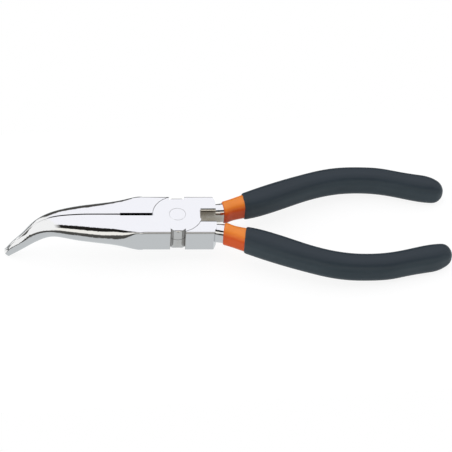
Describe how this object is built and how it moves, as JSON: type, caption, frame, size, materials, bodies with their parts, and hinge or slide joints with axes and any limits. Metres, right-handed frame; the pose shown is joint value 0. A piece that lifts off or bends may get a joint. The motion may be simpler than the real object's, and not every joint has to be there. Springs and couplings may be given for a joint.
{
  "type": "bent nose pliers",
  "caption": "Long-reach bent-nose pliers with a riveted lap joint, toothed jaws and colour-dipped handles.",
  "frame": {"origin": "centre of the joint's flat upper face, on the pivot axis", "axes": "+Z along the pivot axis out of the flat face the jaw tips bend away from, +X along the handles, +Y towards the front half's handle"},
  "size_m": [0.16, 0.052, 0.0207],
  "materials": {
    "plated_steel": "polished",
    "inner_dip": "satin",
    "outer_dip": "satin"
  },
  "bodies": {
    "back": {"back_half": "plated_steel", "back_inner_sleeve": "inner_dip", "back_outer_grip": "outer_dip"},
    "front": {"front_half": "plated_steel", "rivet": "plated_steel", "front_inner_sleeve": "inner_dip", "front_outer_grip": "outer_dip"}
  },
  "joints": [
    {"name": "pivot", "type": "hinge", "parent": "back", "child": "front", "pos_m": [0, 0, 0], "axis": [0, 0, 1], "range_deg": [0, 30]}
  ]
}
